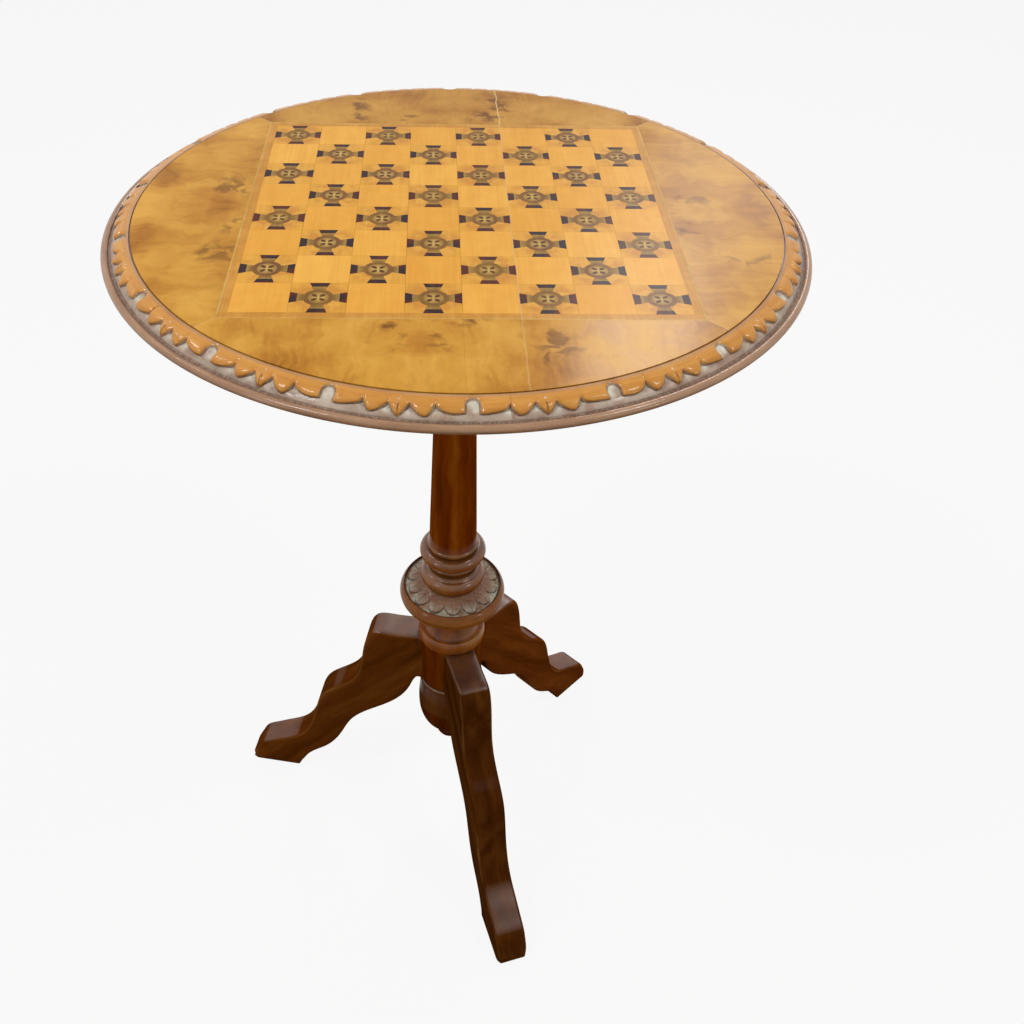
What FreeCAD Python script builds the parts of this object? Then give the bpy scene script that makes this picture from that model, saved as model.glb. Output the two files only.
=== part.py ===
import FreeCAD, Part
import math
import os

# Tilt-top chess table: an inlaid round top on a turned pillar with three sawn legs.
# Millimetres, +Z up, origin on the floor under the pillar's axis.
# The board's sides run along X and Y, and the front of the board faces -Y.

# Whole table
table_height = 716.0
glue_line = 0.06
rest_gap = 0.3
overrun = 5.0

# Playing board
squares_per_side = 8
square_side = 37.0
banding_width = 5.6
stringing_width = 1.2
veneer_thickness = 1.2

# Inlaid star of a patterned square, as shares of the square's side
tip_outer_share = 0.36
tip_inner_share = 0.28
tip_depth_share = 0.13
roundel_share = 0.27
centre_share = 0.18
petal_start_share = 0.03
petal_end_share = 0.165
petal_bulge_share = 0.038

# Top
field_radius = 234.5
top_thickness = 18.5
core_joint_shares = (-0.47, 0.158, 0.6)

# Carved rim
rim_width = 21.9
rim_segment_count = 6
repeats_per_segment = 3
rim_eye_angle = -89.1
quirk_width = 1.0
quirk_depth = 1.4
rim_shoulder_drop = 0.3
plain_band_width = 4.0
lobe_reach = 8.0
lobe_shoulder = 3.4
carving_depth = 2.0
rim_bead_radius = 4.0
eye_radius = 2.6
lobe_span_shares = ((0.075, 0.25), (0.26, 0.435), (0.445, 0.555), (0.565, 0.74), (0.75, 0.925))
lobe_length_shares = (1.0, 0.94, 0.72, 0.94, 1.0)

# Block on the pillar that the top tilts on
block_length = 150.0
block_width = 130.0
block_thickness = 34.0
pivot_setback = 17.0
pin_radius = 5.0
pin_seat_depth = 22.0
pin_fit = 0.05

# Bearers under the top
bearer_length = 350.0
bearer_width = 22.0
bearer_height = 36.0
bearer_nose_share = 0.12
bearer_screw_shares = (-0.68, -0.25, 0.12, 0.68)
screw_shank_radius = 2.1
screw_head_radius = 4.2
screw_head_depth = 2.6
screw_core_bite = 11.0

# Brass slide catch
case_length = 58.0
case_width = 36.0
case_height = 12.0
case_standoff = 4.0
bolt_width = 12.0
bolt_thickness = 5.0
bolt_travel = 9.0
bolt_fit = 0.1
knob_stem_radius = 2.4
knob_radius = 6.0
knob_drop = 3.0
case_screw_inset = 5.5
small_screw_radius = 1.4
small_screw_head_radius = 2.8
small_screw_head_depth = 1.7
small_screw_bite = 8.0
strike_width = 32.0
strike_height = 11.0
strike_thickness = 2.0
strike_screw_spacing = 23.0
mortise_depth = 8.0

# Turned pillar
tenon_radius = 14.0
wedge_thickness = 3.0
wedge_width = 22.0
wedge_depth = 24.0
capital_radius = 23.0
capital_height = 26.0
astragal_radius = 19.0
astragal_height = 7.0
shaft_top_radius = 15.6
shaft_foot_radius = 22.0
foot_bead_radius = 24.5
foot_bead_height = 5.0
foot_flare_height = 14.5
foot_flare_share = 0.12
upper_ring_radius = 31.3
upper_ring_height = 14.5
upper_ring_fillet_radius = 26.0
pillar_neck_radius = 23.5
pillar_neck_height = 15.0
neck_bead_radius = 26.0
neck_bead_height = 4.0
lower_ring_radius = 30.6
lower_ring_height = 16.0
lower_ring_fillet_radius = 26.5
spigot_radius = 14.0
spigot_hub_depth = 58.0

# Carved collar
collar_radius = 51.4
collar_lip_height = 19.0
collar_lip_undercut = 5.2
collar_height = 26.0
collar_face_radius = 47.5
collar_groove_width = 1.2
collar_groove_depth = 1.6
collar_face_drop = 8.0
collar_neck_radius = 27.0

# Hub that the legs are housed in
hub_radius = 32.0
hub_height = 60.0
hub_ring_radius = 33.8
hub_ring_height = 16.0
hub_neck_radius = 25.0
hub_neck_height = 38.0
hub_neck_foot_radius = 29.0
dovetail_neck_width = 12.0
dovetail_root_width = 17.0
dovetail_depth = 12.0
dovetail_top_margin = 8.0

# Turned drop under the hub
drop_height = 106.5
drop_bulb_radius = 34.0
drop_bulb_share = 0.383
drop_bulb_side_shares = ((0.93, 0.5), (0.68, 0.87))
drop_ball_radius = 15.0
drop_neck_share = 0.75
drop_fillet_height = 5.0
drop_dowel_radius = 9.0
drop_dowel_length = 30.0

# Legs
leg_names = ("leg_front", "leg_right", "leg_left")
leg_angles = (-74.4, 44.5, 169.4)
leg_rise = 252.0
leg_reach = 234.0
leg_thickness = 32.0
leg_edge_round = 2.5
leg_upper_edge_shares = (
    (0.087, 1.0), (0.17, 1.0), (0.26, 0.998), (0.34, 0.99), (0.377, 0.929), (0.397, 0.828),
    (0.441, 0.688), (0.527, 0.612), (0.594, 0.555), (0.633, 0.465), (0.672, 0.33), (0.744, 0.222),
    (0.84, 0.17), (0.9, 0.14), (0.945, 0.115), (0.975, 0.07))
leg_toe_share = 0.028
leg_heel_share = 0.761
leg_lower_edge_shares = (
    (0.761, 0), (0.737, 0.035), (0.698, 0.092), (0.608, 0.168), (0.527, 0.28), (0.464, 0.4),
    (0.397, 0.467), (0.31, 0.53), (0.225, 0.607), (0.177, 0.69), (0.135, 0.762), (0.087, 0.775))

# Heights and radii that follow from the sizes above
board_half = square_side * squares_per_side / 2
banding_half = board_half + banding_width
stringing_half = banding_half + stringing_width
core_top = table_height - veneer_thickness
underside = table_height - top_thickness
top_radius = field_radius + rim_width
pivot_x = block_length / 2 - pivot_setback
pivot_z = underside - pivot_setback
block_bottom = underside - block_thickness
bearer_inner = block_width / 2 + rest_gap
catch_z = underside - case_height / 2
case_front = -block_length / 2 - case_standoff
hub_bottom = leg_rise - hub_height
hub_ring_bottom = leg_rise + glue_line
hub_neck_bottom = hub_ring_bottom + hub_ring_height
collar_bottom = hub_neck_bottom + hub_neck_height
collar_top = collar_bottom + collar_height
lower_ring_top = collar_top + lower_ring_height
pillar_neck_top = lower_ring_top + pillar_neck_height
upper_ring_top = pillar_neck_top + upper_ring_height
foot_bead_top = upper_ring_top + foot_bead_height
shaft_foot = foot_bead_top + foot_flare_height
astragal_top = block_bottom - capital_height
shaft_top = astragal_top - astragal_height
repeat_angle = 360 / (rim_segment_count * repeats_per_segment)

X = FreeCAD.Vector(1, 0, 0)
Y = FreeCAD.Vector(0, 1, 0)
Z = FreeCAD.Vector(0, 0, 1)
ORIGIN = FreeCAD.Vector(0, 0, 0)


def at(x, y, z):
    return FreeCAD.Vector(x, y, z)


def section(r, z):
    """A point of a turned or sawn outline, r out from the axis and z up."""
    return at(r, 0, z)


def polar(r, angle, z):
    return at(r * math.cos(math.radians(angle)), r * math.sin(math.radians(angle)), z)


def outline(start, steps):
    """A closed face: each step is one point for a line, or two for an arc through the first."""
    edges = []
    here = start
    for step in steps:
        if len(step) == 1:
            edges.append(Part.LineSegment(here, step[0]).toShape())
        else:
            edges.append(Part.Arc(here, step[0], step[1]).toShape())
        here = step[-1]
    edges.append(Part.LineSegment(here, start).toShape())
    return Part.Face(Part.Wire(edges))


def turned(start, steps):
    return outline(start, steps).revolve(ORIGIN, Z, 360)


def polygon(points):
    return Part.Face(Part.makePolygon(list(points) + [points[0]]))


def disc(radius, z):
    return Part.Face(Part.Wire(Part.makeCircle(radius, at(0, 0, z))))


def square_face(half, z):
    return polygon([at(-half, -half, z), at(half, -half, z), at(half, half, z), at(-half, half, z)])


def wedge_face(first_angle, last_angle, reach, z):
    return polygon([at(0, 0, z), polar(reach, first_angle, z), polar(reach, last_angle, z)])


def box(low, high):
    size = high - low
    return Part.makeBox(size.x, size.y, size.z, low)


def veneer(face):
    """Veneer cut to a flat shape, a film of glue short of its neighbours all round."""
    sheet = face.Faces[0]
    inset = Part.Face(sheet.OuterWire).makeOffset2D(-glue_line / 2)
    for wire in sheet.Wires:
        if not wire.isSame(sheet.OuterWire):
            inset = inset.cut(Part.Face(wire).makeOffset2D(glue_line / 2))
    return inset.Faces[0].extrude(Z * veneer_thickness)


def countersunk(tip, direction, length, shank, head, head_depth, fit):
    """A countersunk screw from its tip along direction, or its hole where fit is above 0."""
    head_start = length - head_depth
    shape = Part.makeCylinder(shank + fit, head_start + fit, tip - direction * fit, direction)
    cone = Part.makeCone(shank + fit, head + fit, head_depth, tip + direction * head_start, direction)
    return shape.fuse(cone).removeSplitter()


def group(shapes):
    return Part.makeCompound(list(shapes))


# Legs and hub

def leg_point(shares):
    return section(shares[0] * leg_reach, shares[1] * leg_rise)


def leg_edge(table):
    curve = Part.BSplineCurve()
    curve.interpolate([leg_point(shares) for shares in table])
    return curve.toShape()


def dovetail(fit):
    """The tongue on a leg's root along +X, or the hub's housing for it where fit is above 0."""
    outer = hub_radius + glue_line
    inner = hub_radius - dovetail_depth - fit
    neck = dovetail_neck_width / 2 + fit
    root = dovetail_root_width / 2 + fit
    low = hub_bottom
    top = leg_rise - dovetail_top_margin + fit
    plan = polygon([at(inner, -root, low), at(outer, -neck, low), at(outer, neck, low), at(inner, root, low)])
    return plan.extrude(Z * (top - low)).common(Part.makeCylinder(outer, leg_rise, ORIGIN, Z))


def leg_blank():
    """A leg sawn from a plank in a double wave along +X, its long edges eased."""
    toe_top = section(leg_reach, leg_toe_share * leg_rise)
    toe = section(leg_reach, 0)
    heel = section(leg_heel_share * leg_reach, 0)
    upper = leg_edge(leg_upper_edge_shares)
    lower = leg_edge(leg_lower_edge_shares)
    root_top = leg_point(leg_upper_edge_shares[0])
    root_low = leg_point(leg_lower_edge_shares[-1])
    toe_shoulder = leg_point(leg_upper_edge_shares[-1])
    edges = [upper,
             Part.LineSegment(toe_shoulder, toe_top).toShape(),
             Part.LineSegment(toe_top, toe).toShape(),
             Part.LineSegment(toe, heel).toShape(),
             lower,
             Part.LineSegment(root_low, root_top).toShape()]
    face = Part.Face(Part.Wire(Part.__sortEdges__(edges)))
    face.translate(Y * (-leg_thickness / 2))
    plank = face.extrude(Y * leg_thickness)
    half = leg_thickness / 2
    eased = []
    for edge in plank.Edges:
        box_of_edge = edge.BoundBox
        on_side = box_of_edge.YLength < glue_line and abs(abs(box_of_edge.Center.y) - half) < glue_line
        on_floor = box_of_edge.ZMax < glue_line
        in_hub = box_of_edge.XMax < hub_radius
        if on_side and not on_floor and not in_hub:
            eased.append(edge)
    return plank.makeFillet(leg_edge_round, eased)


def make_leg(angle):
    coped = leg_blank().cut(Part.makeCylinder(hub_radius + glue_line, table_height, ORIGIN, Z))
    leg = coped.fuse(dovetail(0)).removeSplitter()
    leg.rotate(ORIGIN, Z, angle)
    return leg


def make_hub(angles):
    ring_middle = hub_ring_bottom + hub_ring_height / 2
    neck_middle = hub_neck_bottom + hub_neck_height / 2
    hub = turned(section(0, hub_bottom), [
        (section(hub_radius, hub_bottom),),
        (section(hub_radius, hub_ring_bottom),),
        (section(hub_ring_radius, ring_middle), section(hub_radius, hub_neck_bottom)),
        (section(hub_neck_foot_radius, hub_neck_bottom),),
        (section(hub_neck_radius, neck_middle), section(collar_neck_radius, collar_bottom)),
        (section(0, collar_bottom),)])
    for angle in angles:
        housing = dovetail(glue_line)
        housing.rotate(ORIGIN, Z, angle)
        hub = hub.cut(housing)
    spigot_end = collar_bottom - spigot_hub_depth - glue_line
    socket = Part.makeCylinder(spigot_radius + glue_line, spigot_hub_depth + overrun, at(0, 0, spigot_end), Z)
    dowel_start = hub_bottom - overrun
    dowel_hole = Part.makeCylinder(
        drop_dowel_radius + glue_line, drop_dowel_length + overrun + glue_line, at(0, 0, dowel_start), Z)
    return hub.cut(socket).cut(dowel_hole)


def make_drop():
    top = hub_bottom
    bottom = top - drop_height
    fillet = top - drop_fillet_height
    bulb = top - drop_height * drop_bulb_share
    ball_middle = bottom + drop_ball_radius
    neck_radius = drop_ball_radius * drop_neck_share
    neck = ball_middle + math.sqrt(drop_ball_radius ** 2 - neck_radius ** 2)
    bulb_side = Part.BSplineCurve()
    bulb_side.interpolate(
        [section(hub_radius, fillet), section(drop_bulb_radius, bulb)]
        + [section(drop_bulb_radius * across, bulb + (neck - bulb) * down)
           for across, down in drop_bulb_side_shares]
        + [section(neck_radius, neck)])
    edges = [Part.LineSegment(section(0, top), section(hub_radius, top)).toShape(),
             Part.LineSegment(section(hub_radius, top), section(hub_radius, fillet)).toShape(),
             bulb_side.toShape(),
             Part.Arc(section(neck_radius, neck), section(drop_ball_radius, ball_middle),
                      section(0, bottom)).toShape(),
             Part.LineSegment(section(0, bottom), section(0, top)).toShape()]
    body = Part.Face(Part.Wire(edges)).revolve(ORIGIN, Z, 360)
    dowel = Part.makeCylinder(drop_dowel_radius, drop_dowel_length, at(0, 0, top), Z)
    return body.fuse(dowel).removeSplitter()


# Pillar

def make_collar():
    lip_middle = collar_bottom + collar_lip_height / 2
    lip_top = collar_bottom + collar_lip_height
    groove_bottom = collar_top - collar_face_drop - collar_groove_depth
    groove_inner = collar_face_radius - collar_groove_width
    hole = spigot_radius + glue_line
    return turned(section(hole, collar_bottom), [
        (section(collar_radius - collar_lip_undercut, collar_bottom),),
        (section(collar_radius, lip_middle), section(collar_face_radius, lip_top)),
        (section(collar_face_radius, groove_bottom),),
        (section(groove_inner, groove_bottom),),
        (section(groove_inner, collar_top - collar_face_drop),),
        (section(lower_ring_fillet_radius, collar_top),),
        (section(hole, collar_top),)])


def make_pillar():
    neck_bead_top = pillar_neck_top - neck_bead_height / 2
    neck_bead_bottom = neck_bead_top - neck_bead_height
    flare_middle_radius = shaft_foot_radius + (foot_bead_radius - shaft_foot_radius) * foot_flare_share
    pillar = turned(section(0, collar_top), [
        (section(lower_ring_fillet_radius, collar_top),),
        (section(lower_ring_radius, collar_top + lower_ring_height / 2),
         section(lower_ring_fillet_radius, lower_ring_top)),
        (section(pillar_neck_radius, lower_ring_top),),
        (section(pillar_neck_radius, neck_bead_bottom),),
        (section(neck_bead_radius, neck_bead_bottom + neck_bead_height / 2),
         section(pillar_neck_radius, neck_bead_top)),
        (section(pillar_neck_radius, pillar_neck_top),),
        (section(upper_ring_fillet_radius, pillar_neck_top),),
        (section(upper_ring_radius, pillar_neck_top + upper_ring_height / 2),
         section(upper_ring_fillet_radius, upper_ring_top)),
        (section(foot_bead_radius, upper_ring_top),),
        (section(foot_bead_radius, foot_bead_top),),
        (section(flare_middle_radius, (foot_bead_top + shaft_foot) / 2),
         section(shaft_foot_radius, shaft_foot)),
        (section(shaft_top_radius, shaft_top),),
        (section(astragal_radius, (shaft_top + astragal_top) / 2),
         section(shaft_top_radius, astragal_top)),
        (section(capital_radius, block_bottom),),
        (section(tenon_radius, block_bottom),),
        (section(tenon_radius, underside - rest_gap),),
        (section(0, underside - rest_gap),)])
    spigot_length = collar_height + spigot_hub_depth
    spigot = Part.makeCylinder(spigot_radius, spigot_length, at(0, 0, collar_top - spigot_length), Z)
    return pillar.fuse(spigot).removeSplitter().cut(wedge_shape(glue_line))


def wedge_shape(fit):
    """The wedge driven into the tenon from above, or the tenon's kerf where fit is above 0."""
    half = wedge_thickness / 2
    top = underside - rest_gap
    tip = top - wedge_depth - fit * wedge_depth / half
    side = polygon([at(0, 0, tip), at(half + fit, 0, top), at(-half - fit, 0, top)])
    side.translate(Y * (-wedge_width / 2 - fit))
    return side.extrude(Y * (wedge_width + fit * 2))


# Block, pins and bearers

def make_block():
    half = block_length / 2
    relief = pivot_setback - rest_gap
    bow = relief * math.sqrt(1 / 2)
    side = outline(section(-half, block_bottom), [
        (section(half, block_bottom),),
        (section(half, pivot_z),),
        (section(pivot_x + relief, pivot_z),),
        (section(pivot_x + bow, pivot_z + bow), section(pivot_x, pivot_z + relief)),
        (section(pivot_x, underside),),
        (section(-half, underside),)])
    side.translate(Y * (-block_width / 2))
    block = side.extrude(Y * block_width)
    block = block.cut(Part.makeCylinder(tenon_radius + glue_line, table_height, ORIGIN, Z))
    for pin in pin_shapes(glue_line):
        block = block.cut(pin)
    block = block.cut(strike_blank(glue_line))
    bolt_room = bolt_fit + rest_gap
    mortise_side = bolt_width / 2 + bolt_room
    mortise_height = bolt_thickness / 2 + bolt_room
    mortise = box(at(-half - overrun, -mortise_side, catch_z - mortise_height),
                  at(-half + mortise_depth, mortise_side, catch_z + mortise_height))
    block = block.cut(mortise)
    for screw in strike_screw_shapes(glue_line):
        block = block.cut(screw)
    return block


def pin_shapes(fit):
    """The two pivot pins, or the holes that hold them where fit is above 0."""
    length = pin_seat_depth + rest_gap + bearer_width + fit
    start = block_width / 2 - pin_seat_depth - fit
    front = Part.makeCylinder(pin_radius + fit, length, at(pivot_x, -start, pivot_z), -Y)
    back = Part.makeCylinder(pin_radius + fit, length, at(pivot_x, start, pivot_z), Y)
    return [front, back]


def bearer_screw_places(side):
    y = side * (bearer_inner + bearer_width / 2)
    return [at(share * bearer_length / 2, y, underside - bearer_height) for share in bearer_screw_shares]


def bearer_screw_shapes(fit):
    length = bearer_height + screw_core_bite
    shapes = []
    for side in (-1, 1):
        for place in bearer_screw_places(side):
            tip = place + Z * length
            shapes.append(countersunk(tip, -Z, length, screw_shank_radius, screw_head_radius,
                                      screw_head_depth, fit))
    return shapes


def make_bearer(side):
    half = bearer_length / 2
    nose = bearer_nose_share * bearer_length
    low = underside - bearer_height
    shoulder = underside - bearer_height / 2
    face = polygon([section(-half, underside), section(-half, shoulder), section(-half + nose, low),
                    section(half - nose, low), section(half, shoulder), section(half, underside)])
    inner = bearer_inner if side > 0 else -bearer_inner - bearer_width
    face.translate(Y * inner)
    bearer = face.extrude(Y * bearer_width)
    bore = Part.makeCylinder(pin_radius + pin_fit, table_height, at(pivot_x, -table_height / 2, pivot_z), Y)
    bearer = bearer.cut(bore)
    return bearer.cut(group(bearer_screw_shapes(glue_line)))


# Slide catch

def case_screw_shapes(fit):
    length = case_height + small_screw_bite
    shapes = []
    for along in (case_screw_inset, case_length - case_screw_inset):
        for side in (-1, 1):
            y = side * (case_width / 2 - case_screw_inset)
            tip = at(case_front - along, y, underside + small_screw_bite)
            shapes.append(countersunk(tip, -Z, length, small_screw_radius, small_screw_head_radius,
                                      small_screw_head_depth, fit))
    return shapes


def knob_place():
    return at(case_front - case_length / 2, 0, catch_z)


def make_case():
    half = case_width / 2
    case = box(at(case_front - case_length, -half, underside - case_height), at(case_front, half, underside))
    side = bolt_width / 2 + bolt_fit
    depth = bolt_thickness / 2 + bolt_fit
    back = case_front - case_length - overrun
    case = case.cut(box(at(back, -side, catch_z - depth), at(case_front + overrun, side, catch_z + depth)))
    stem = knob_stem_radius + rest_gap
    knob = knob_place()
    slot_start = knob.x - stem
    slot_end = knob.x + bolt_travel + stem
    slot = box(at(slot_start, -stem, underside - case_height - overrun), at(slot_end, stem, catch_z))
    case = case.cut(slot)
    return case.cut(group(case_screw_shapes(glue_line)))


def make_bolt():
    side = bolt_width / 2
    depth = bolt_thickness / 2
    bolt = box(at(case_front - case_length, -side, catch_z - depth), at(case_front, side, catch_z + depth))
    knob = knob_place()
    socket = Part.makeCylinder(knob_stem_radius + glue_line, bolt_thickness, at(knob.x, 0, catch_z), -Z)
    return bolt.cut(socket)


def make_knob():
    knob = knob_place()
    neck = underside - case_height - knob_drop
    centre = neck - math.sqrt(knob_radius ** 2 - knob_stem_radius ** 2)
    face = outline(section(0, catch_z - glue_line), [
        (section(knob_stem_radius, catch_z - glue_line),),
        (section(knob_stem_radius, neck),),
        (section(knob_radius, centre), section(0, centre - knob_radius))])
    shape = face.revolve(ORIGIN, Z, 360)
    shape.translate(at(knob.x, 0, 0))
    return shape


def strike_blank(fit):
    half = strike_width / 2 + fit
    height = strike_height / 2 + fit
    front = -block_length / 2
    return box(at(front - fit, -half, catch_z - height),
               at(front + strike_thickness + fit, half, catch_z + height))


def strike_screw_shapes(fit):
    length = strike_thickness + small_screw_bite
    front = -block_length / 2
    shapes = []
    for side in (-1, 1):
        tip = at(front + length, side * strike_screw_spacing / 2, catch_z)
        shapes.append(countersunk(tip, -X, length, small_screw_radius, small_screw_head_radius,
                                  small_screw_head_depth, fit))
    return shapes


def make_strike():
    side = bolt_width / 2 + bolt_fit + rest_gap
    height = bolt_thickness / 2 + bolt_fit + rest_gap
    front = -block_length / 2
    window = box(at(front - overrun, -side, catch_z - height),
                 at(front + mortise_depth, side, catch_z + height))
    return strike_blank(0).cut(window).cut(group(strike_screw_shapes(glue_line)))


# Core boards and rim

def make_core_boards():
    joints = [share * field_radius for share in core_joint_shares]
    edges = [-top_radius] + joints + [top_radius]
    screw_holes = group(bearer_screw_shapes(glue_line) + case_screw_shapes(glue_line))
    boards = []
    for left, right in zip(edges, edges[1:]):
        strip = polygon([at(left + glue_line / 2, -top_radius, underside),
                         at(right - glue_line / 2, -top_radius, underside),
                         at(right - glue_line / 2, top_radius, underside),
                         at(left + glue_line / 2, top_radius, underside)])
        face = disc(field_radius, underside).common(strip).Faces[0]
        boards.append(face.extrude(Z * (core_top - underside)).cut(screw_holes))
    return boards


def leaf_outline(first_angle, last_angle, reach, length):
    """Plan of one carved leaf: straight sides from the plain band and a round tip."""
    root = reach - lobe_reach - plain_band_width / 2
    tip = reach - lobe_reach + lobe_reach * length
    shoulder = tip - lobe_shoulder
    middle = (first_angle + last_angle) / 2
    return outline(polar(root, first_angle, underside), [
        (polar(shoulder, first_angle, underside),),
        (polar(tip, middle, underside), polar(shoulder, last_angle, underside)),
        (polar(root, last_angle, underside),)])


def make_rim_segment():
    """The first rim segment: its moulded section swept round, with its leaves in relief."""
    inner = field_radius + glue_line
    shoulder_r = field_radius + quirk_width
    shoulder_z = table_height - rim_shoulder_drop
    bead_r = top_radius - rim_bead_radius
    bead_z = underside + rim_bead_radius
    bead_rise = rim_bead_radius / 2
    bead_run = rim_bead_radius * math.sqrt(3) / 2
    foot_r = bead_r - bead_run
    foot_z = bead_z + bead_rise
    slope = (foot_z + carving_depth - shoulder_z) / (foot_r - shoulder_r)
    band_r = shoulder_r + plain_band_width
    band_z = shoulder_z + slope * (band_r - shoulder_r)
    tip_r = band_r + lobe_reach
    tip_z = shoulder_z + slope * (tip_r - shoulder_r)
    face = outline(section(inner, underside), [
        (section(bead_r, underside),),
        (section(bead_r + bead_run, bead_z - bead_rise), section(top_radius, bead_z)),
        (section(bead_r, bead_z + rim_bead_radius), section(foot_r, foot_z)),
        (section(band_r, band_z - carving_depth),),
        (section(band_r, band_z),),
        (section(shoulder_r, shoulder_z),),
        (section(shoulder_r, table_height - quirk_depth),),
        (section(inner, table_height - quirk_depth),)])
    layer = polygon([section(shoulder_r, shoulder_z - carving_depth), section(tip_r, tip_z - carving_depth),
                     section(tip_r, tip_z), section(shoulder_r, shoulder_z)])
    span = 360 / rim_segment_count - math.degrees(glue_line / top_radius)
    first_joint = repeat_angle * (lobe_span_shares[0][1] + lobe_span_shares[1][0]) / 2
    start = rim_eye_angle + first_joint
    ring = face.revolve(ORIGIN, Z, span)
    relief = layer.revolve(ORIGIN, Z, span)
    ring.rotate(ORIGIN, Z, start)
    relief.rotate(ORIGIN, Z, start)
    prisms = []
    for repeat in range(repeats_per_segment + 1):
        eye = rim_eye_angle + repeat * repeat_angle
        for (first_share, last_share), length in zip(lobe_span_shares, lobe_length_shares):
            first = eye + first_share * repeat_angle
            last = eye + last_share * repeat_angle
            plan = leaf_outline(first, last, tip_r, length)
            prisms.append(plan.extrude(Z * top_thickness))
    leaves = relief.common(group(prisms))
    ring = ring.fuse(leaves.Solids)
    for repeat in range(1, repeats_per_segment + 1):
        eye = rim_eye_angle + repeat * repeat_angle
        ring = ring.cut(Part.makeSphere(eye_radius, polar(band_r, eye, band_z)))
    return ring.removeSplitter()


def make_rim_segments():
    first = make_rim_segment()
    segments = []
    for index in range(rim_segment_count):
        segment = first.copy()
        segment.rotate(ORIGIN, Z, index * 360 / rim_segment_count)
        segments.append(segment)
    return segments


# Veneers of the top

def make_burr_panel(middle_angle):
    """Two mirrored leaves of burr veneer between the board and the rim, mitred at the corners."""
    field = disc(field_radius, core_top).cut(square_face(stringing_half, core_top))
    leaves = []
    for first_angle in (middle_angle - 45, middle_angle):
        wedge = wedge_face(first_angle, first_angle + 45, top_radius * 2, core_top)
        leaves.append(veneer(field.common(wedge)))
    return group(leaves)


def make_frame_strips(inner_half, outer_half):
    """Four mitred strips of a square frame."""
    frame = square_face(outer_half, core_top).cut(square_face(inner_half, core_top))
    strips = []
    for side in range(4):
        wedge = wedge_face(side * 90 - 45, side * 90 + 45, top_radius * 2, core_top)
        strips.append(veneer(frame.common(wedge)))
    return group(strips)


def quarter_turns(shape):
    copies = []
    for turn in range(4):
        copy = shape.copy()
        copy.rotate(ORIGIN, Z, turn * 90)
        copies.append(copy)
    return copies


def star_pieces():
    """One patterned square at the origin: ground, star, roundel centre, petals and dark tips."""
    half = square_side / 2
    tip_root = half - tip_depth_share * square_side
    tip_outer = tip_outer_share * square_side / 2
    tip_inner = tip_inner_share * square_side / 2
    flare = (tip_outer - tip_inner) / (half - tip_root)
    waist = tip_outer - flare * half
    arm = polygon([at(0, -waist, core_top), at(half, -tip_outer, core_top), at(half, tip_outer, core_top),
                   at(0, waist, core_top)])
    tip = polygon([at(tip_root, -tip_inner, core_top), at(half, -tip_outer, core_top),
                   at(half, tip_outer, core_top), at(tip_root, tip_inner, core_top)])
    roundel = disc(roundel_share * square_side, core_top)
    centre = disc(centre_share * square_side, core_top)
    middle = (petal_start_share + petal_end_share) / 2
    bulge = petal_bulge_share * square_side
    start = at(petal_start_share * square_side, 0, core_top)
    end = at(petal_end_share * square_side, 0, core_top)
    petal = Part.Face(Part.Wire([
        Part.Arc(start, at(middle * square_side, -bulge, core_top), end).toShape(),
        Part.Arc(end, at(middle * square_side, bulge, core_top), start).toShape()]))
    petal.rotate(ORIGIN, Z, 45)
    arms = quarter_turns(arm)
    tips = quarter_turns(tip)
    petals = quarter_turns(petal)
    star = roundel.fuse(arms).removeSplitter()
    ground = square_face(half, core_top).cut(star)
    body = star.cut(group(tips)).cut(centre)
    cross = centre.cut(group(petals))
    return {
        "square_grounds": [veneer(face) for face in ground.Faces],
        "star_bodies": [veneer(face) for face in body.Faces],
        "star_crosses": [veneer(cross)],
        "star_petals": [veneer(face) for face in petals],
        "star_tips": [veneer(face) for face in tips]}


def square_places(patterned):
    places = []
    for column in range(squares_per_side):
        for row in range(squares_per_side):
            if ((column + row) % 2 == 0) == patterned:
                x = (column + 1 / 2) * square_side - board_half
                y = board_half - (row + 1 / 2) * square_side
                places.append(at(x, y, 0))
    return places


def repeated(shapes, places):
    copies = []
    for place in places:
        for shape in shapes:
            copy = shape.copy()
            copy.translate(place)
            copies.append(copy)
    return group(copies)


# Assembly

nodes = {}
for name, angle in zip(leg_names, leg_angles):
    nodes[name] = make_leg(angle)
nodes["leg_hub"] = make_hub(leg_angles)
nodes["turned_drop"] = make_drop()
nodes["carved_collar"] = make_collar()
nodes["pillar"] = make_pillar()
nodes["tenon_wedge"] = wedge_shape(0)
nodes["tilt_block"] = make_block()
nodes["pivot_pin_front"], nodes["pivot_pin_back"] = pin_shapes(0)
nodes["strike_plate"] = make_strike()
nodes["strike_screws"] = group(strike_screw_shapes(0))
nodes["bearer_front"] = make_bearer(-1)
nodes["bearer_back"] = make_bearer(1)
nodes["bearer_screws"] = group(bearer_screw_shapes(0))
nodes["catch_case"] = make_case()
nodes["catch_screws"] = group(case_screw_shapes(0))
nodes["catch_bolt"] = make_bolt()
nodes["catch_knob"] = make_knob()
for index, board in enumerate(make_core_boards()):
    nodes["core_board_" + str(index + 1)] = board
for index, segment in enumerate(make_rim_segments()):
    nodes["rim_segment_" + str(index + 1)] = segment
for name, angle in (("front", -90), ("right", 0), ("back", 90), ("left", 180)):
    nodes["burr_veneer_" + name] = make_burr_panel(angle)
nodes["board_banding"] = make_frame_strips(board_half, banding_half)
nodes["board_stringing"] = make_frame_strips(banding_half, stringing_half)
plain_square = veneer(square_face(square_side / 2, core_top))
nodes["light_squares"] = repeated([plain_square], square_places(False))
for name, shapes in star_pieces().items():
    nodes[name] = repeated(shapes, square_places(True))

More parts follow.
